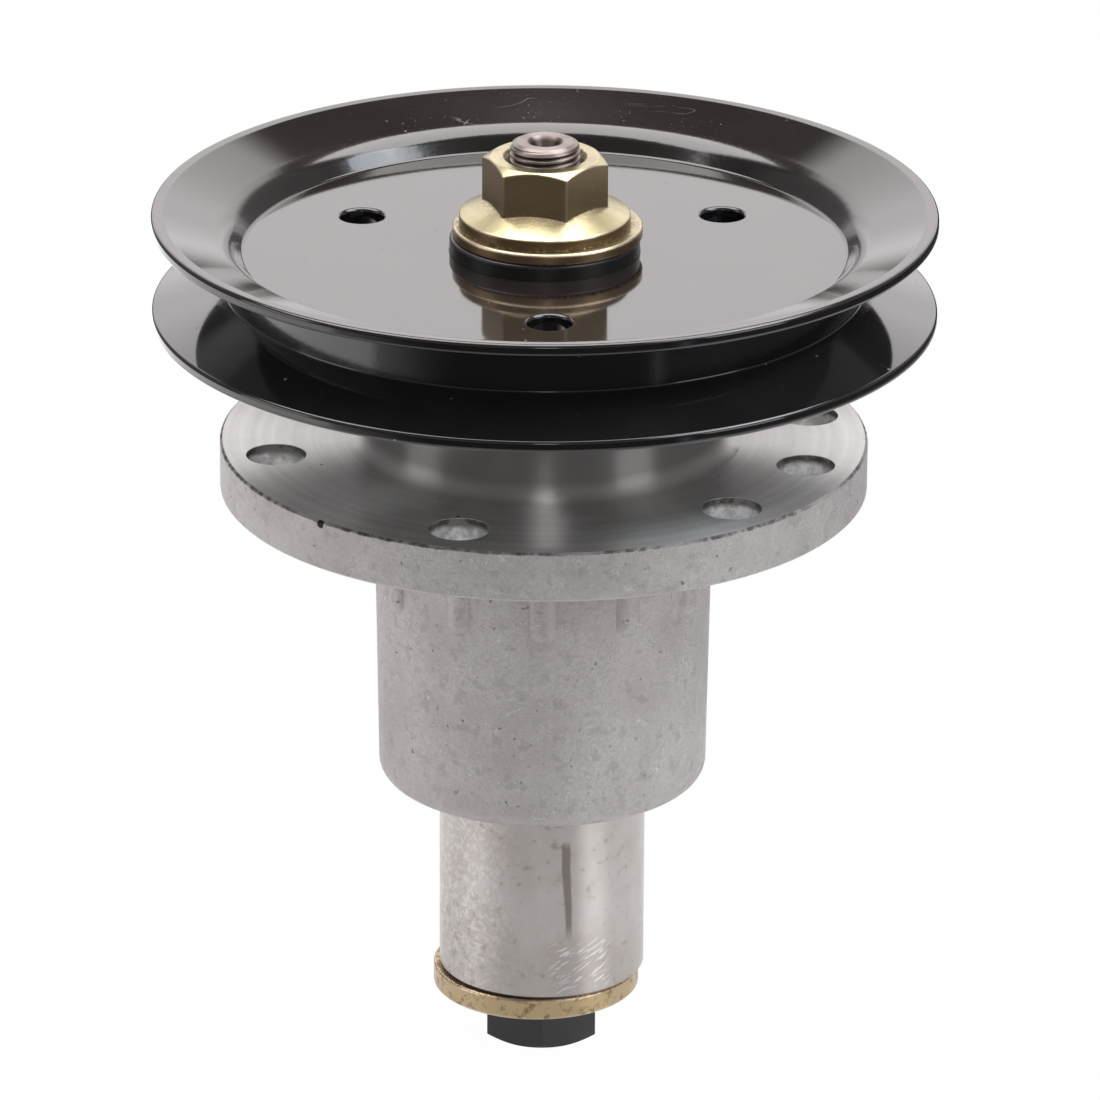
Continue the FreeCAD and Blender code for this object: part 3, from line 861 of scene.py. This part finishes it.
# %% [markdown]
# ## Machined aluminium
# The flange's top and the boss were faced on a lathe, which leaves fine rings, and rings stretch
# reflections along the radius. A bump that fine would only shimmer, so the shader's own anisotropy
# does it, turned to lie about the axis. Height decides between casting and machined face, and a
# little noise frays the line where the tool met the casting's skin.

# %% Machined faces
along = radius + z
rings = lathe_rings(along, 5200.0, 3.0)
bands = lathe_rings(along, 420.0, 2.0)
smear = noise(where, 75, 4, 0.6)
turned_tone = (bands * 0.4 + smear * 0.6).rise(0.35, 0.65)
turned_tone = turned_tone.mix(grey(0.48, 0.015), grey(0.585, 0.015))
nick = noise(where, 300, 2).rise(0.72, 0.75)
turned_tone = nick.mix(turned_tone, grey(0.14))
# The boss above the flange is painted darker: painted shade from the pulley over it.
turned_tone = z.rise(0.0005, 0.0040).mix(turned_tone, grey(0.32, 0.02))
machined = s.add("ShaderNodeBsdfPrincipled", {}, {
    "Base Color": turned_tone,
    "Metallic": 0.70,
    "Roughness": 0.36 + 0.06 * rings + 0.08 * smear - 0.10 * z.rise(0.002, 0.006),
    "Anisotropic": 0.97,
    "Anisotropic Rotation": 0.25,
    "Normal": bump(rings + 0.5 * bands, 0.000003),
})
tool_mask = (z + 0.0002 * (edge_noise - 0.5)).rise(-0.00018, -0.00010)
tool_mask = tool_mask * radius.rise(0.06935, 0.06925)
housing_metal = s.add("ShaderNodeMixShader", {}, {0: tool_mask, 1: cast, 2: machined})
surface(aluminium, housing_metal)

# %% [markdown]
# ## Bare steel
# The shaft was turned and left bare. Handling has clouded it brown and grey, more on the left and
# towards the lower edge, and the thread is dark with old oil. The roots of the thread and the
# centre
# hole are painted darker still: painted shade. A flat picture of it could be wrapped round, but
# noise needs no seam. Marks are placed in the unrolled coordinates of the cylinder: distance round
# it from the front, and height.

# %% Clouded steel
STEEL_DARK, STEEL_PALE = (0.46, 0.415, 0.40, 1), (0.56, 0.53, 0.515, 1)
STEEL_SPOT, STEEL_RUBBED = (0.26, 0.22, 0.19, 1), (0.78, 0.74, 0.71, 1)
STEEL_BROWN, STEEL_FOOT = (0.24, 0.195, 0.17, 1), (0.30, 0.26, 0.245, 1)
OILED_THREAD, THREAD_GROOVE_SHADE = (0.24, 0.20, 0.182, 1), (0.09, 0.068, 0.055, 1)
CENTRE_HOLE_SHADE = (0.03, 0.024, 0.02, 1)
steel, s = new_finish("turned_steel")
where = object_place(s)
z = where.axis(2)
radius = from_axis(where)
round_way = (round_axis(where) + math.radians(90)) * (BLADE_END_RADIUS * MM)
cloud = noise(where, 85, 5, 0.62)
spots = noise(where, 420, 3, 0.6)
tone = cloud.rise(0.25, 0.75).mix(STEEL_DARK, STEEL_PALE)
tone = (spots.rise(0.58, 0.74) * 0.5).mix(tone, STEEL_SPOT)
worn = noise(where, 750, 4, 0.7).rise(0.48, 0.60) * round_way.rise(-0.002, -0.016)
tone = (worn * 0.4).mix(tone, STEEL_RUBBED)
brown = noise(where, 560, 4, 0.7).rise(0.50, 0.64) * round_way.rise(-0.002, -0.020)
brown = brown * z.rise(-0.085, -0.112)
tone = (brown * 0.5).mix(tone, STEEL_BROWN)
tone = (z.rise(-0.104, -0.122) * 0.3).mix(tone, STEEL_FOOT)
thread = z.rise(0.040, 0.046)
tone = (thread * 0.85).mix(tone, OILED_THREAD)
# The roots of the thread are painted darker: painted shade in the grooves.
groove = radius.rise(0.00735, 0.0069) * radius.rise(0.0058, 0.0060)
groove = groove * z.rise(0.0455, 0.0465) * z.rise(0.0664, 0.0660)
tone = (groove * 0.8).mix(tone, THREAD_GROOVE_SHADE)
# The countersink of the centre hole is painted dark: painted shade in the hole.
centre = radius.rise(0.0039, 0.0030) * z.rise(0.058, 0.060)
tone = (centre * 0.9).mix(tone, CENTRE_HOLE_SHADE)
print("clouded steel in", len(s.tree.nodes), "nodes")

# %% [markdown]
# Oil has run down the blade end and dried in one dark streak, which narrows as it goes, and a file
# has left a patch of slanting strokes near the lower edge. The strokes are noise that is stretched
# far more along their own direction than across it. The lathe's feed shows as rings, in the bump
# and in the anisotropy.

# %% Run, file strokes and steel
RUN_PLACE = 0.0052
RUN_TONE, FILED = (0.16, 0.13, 0.12, 1), (0.86, 0.86, 0.87, 1)
STROKES_PLACE, STROKES_DROP = 0.0090, 0.1160
run_edge = 0.0009 - 0.0003 * z.rise(-0.092, -0.108)
run_way = round_way - RUN_PLACE - 0.0007 * z.rise(-0.088, -0.106)
run_way = run_way + 0.0006 * (noise(where, 160, 2) - 0.5)
run = (run_way.size() - run_edge).rise(0.00030, -0.00020)
run = run * z.rise(-0.1105, -0.1055) * z.rise(-0.0856, -0.0880)
tone = (run * 0.7).mix(tone, RUN_TONE)
across, along = z * 0.88 - round_way * 0.47, z * 0.47 + round_way * 0.88
stroke = noise(s.vector(along * 260.0, across * 1500.0, 0.0), 1.0, 2).rise(0.53, 0.64)
stroke = stroke * (round_way - STROKES_PLACE).size().rise(0.0085, 0.0050)
stroke = stroke * (z + STROKES_DROP).size().rise(0.0068, 0.0045)
tone = (stroke * 0.55).mix(tone, FILED)
feed = lathe_rings(z, 3500.0, 3.0)
bare = s.add("ShaderNodeBsdfPrincipled", {}, {
    "Base Color": tone,
    "Metallic": 1.0,
    "Roughness": 0.20 + 0.12 * cloud + 0.1 * spots + 0.14 * thread,
    "Anisotropic": 0.75,
    "Anisotropic Rotation": 0.25,
    "Normal": bump(feed * 0.5 + spots * 0.4 - stroke * 0.8 - run * 0.3, 0.00003),
})
surface(steel, bare)

# %% [markdown]
# ## Satin black bolt
# The blade's bolt is blackened by oxide, which is thin, even and nearly matt. Its edges were never
# quite sharp: a Bevel node rounds the shading there, so that they catch a line of light, and leaves
# the mesh as it is.

# %% Black oxide
OXIDE_DARK, OXIDE_PALE = (0.012, 0.012, 0.013, 1), (0.030, 0.030, 0.031, 1)
BOLT_ROUNDING = 0.0004
satin_black, s = new_finish("satin_black_oxide")
fine = noise(object_place(s), 1300, 4, 0.6)
rounded = s.add("ShaderNodeBevel", {"samples": 6}, {"Radius": BOLT_ROUNDING})
oxide = s.add("ShaderNodeBsdfPrincipled", {}, {
    "Base Color": fine.mix(OXIDE_DARK, OXIDE_PALE),
    "Roughness": 0.45 + 0.15 * fine,
    "Normal": bump(fine, 0.00004, rounded),
})
surface(satin_black, oxide)

# %% [markdown]
# ## Inside the housing
# The bearings can't be seen until someone takes the spindle apart, but they get honest finishes
# too: ground steel for races, balls and spacers, and matt rubber for the seals. Both are one noise
# over a plain shader.

# %% Bearing steel and seal rubber
ground_steel, s = new_finish("ground_bearing_steel")
fine = noise(object_place(s), 900, 3)
ground = s.add("ShaderNodeBsdfPrincipled", {}, {
    "Base Color": fine.mix(grey(0.60), grey(0.72)),
    "Metallic": 1.0,
    "Roughness": 0.16 + 0.12 * fine,
})
surface(ground_steel, ground)

rubber, s = new_finish("seal_rubber")
fine = noise(object_place(s), 1600, 3)
seal = s.add("ShaderNodeBsdfPrincipled", {}, {
    "Base Color": fine.mix(grey(0.018), grey(0.035)),
    "Roughness": 0.55 + 0.2 * fine,
    "Normal": bump(fine, 0.00005),
})
surface(rubber, seal)

# %% [markdown]
# ## Handing out the finishes
# The record of the part says which slot each CAD piece has, so a table from slot to finish dresses
# them all in one loop. Only the blade washer departs from it: it is the same plating, but worn. The
# three pieces that were made here get theirs by name.

# %% Hand out the finishes
FINISHES = {
    "cast_aluminium": aluminium,
    "turned_steel": steel,
    "bearing_steel": ground_steel,
    "seal_rubber": rubber,
    "black_paint": paint_black,
    "yellow_zinc": yellow_zinc,
    "black_oxide": satin_black,
}
for part in frame["record"]["subparts"]:
    for material_slot in nodes[part["node"]].material_slots:
        material_slot.material = FINISHES[part["material_slot"]]
for material_slot in nodes["blade_washer"].material_slots:
    material_slot.material = worn_zinc
for piece, finish in ((shaft, steel), (upper_half, paint_black), (lower_half, paint_black)):
    piece.data.materials.clear()
    piece.data.materials.append(finish)
print("finishes on", len(nodes), "CAD pieces and three new ones")

# %% [markdown]
# ## The last settings
# The Standard view shows colours as they are written, where a film-like one would grey the white
# studio.

# %% Colour view
scene.view_settings.view_transform = "Standard"
